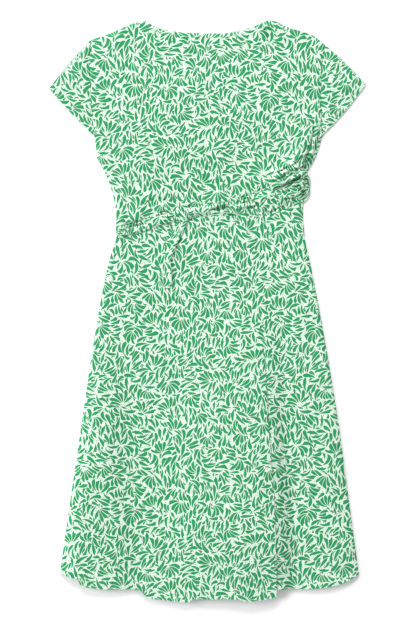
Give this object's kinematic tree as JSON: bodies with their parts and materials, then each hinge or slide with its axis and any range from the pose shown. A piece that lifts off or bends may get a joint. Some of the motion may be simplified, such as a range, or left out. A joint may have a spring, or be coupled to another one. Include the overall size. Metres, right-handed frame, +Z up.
{
  "type": "short-sleeved tie-waist dress laid flat",
  "caption": "Short-sleeved A-line dress with a wide shallow neckline and a knotted waist tie, in a leaf print, laid flat.",
  "frame": {"origin": "on the surface the dress lies on, under the middle of its outline", "axes": "+Y towards the neck along the dress's length, +X to the right of someone looking down at it, +Z up out of the surface"},
  "size_m": [0.5549, 1.0184, 0.0155],
  "materials": {
    "print_cloth": "matt fine woven cloth, dense green leaf sprigs printed on ivory"
  },
  "bodies": {
    "root": {"bodice_front": "print_cloth", "bodice_back": "print_cloth", "sleeve_left": "print_cloth", "sleeve_right": "print_cloth", "skirt_front": "print_cloth", "skirt_back": "print_cloth", "tie_left": "print_cloth", "tie_right": "print_cloth", "tie_knot": "print_cloth", "tie_end": "print_cloth"}
  },
  "joints": []
}
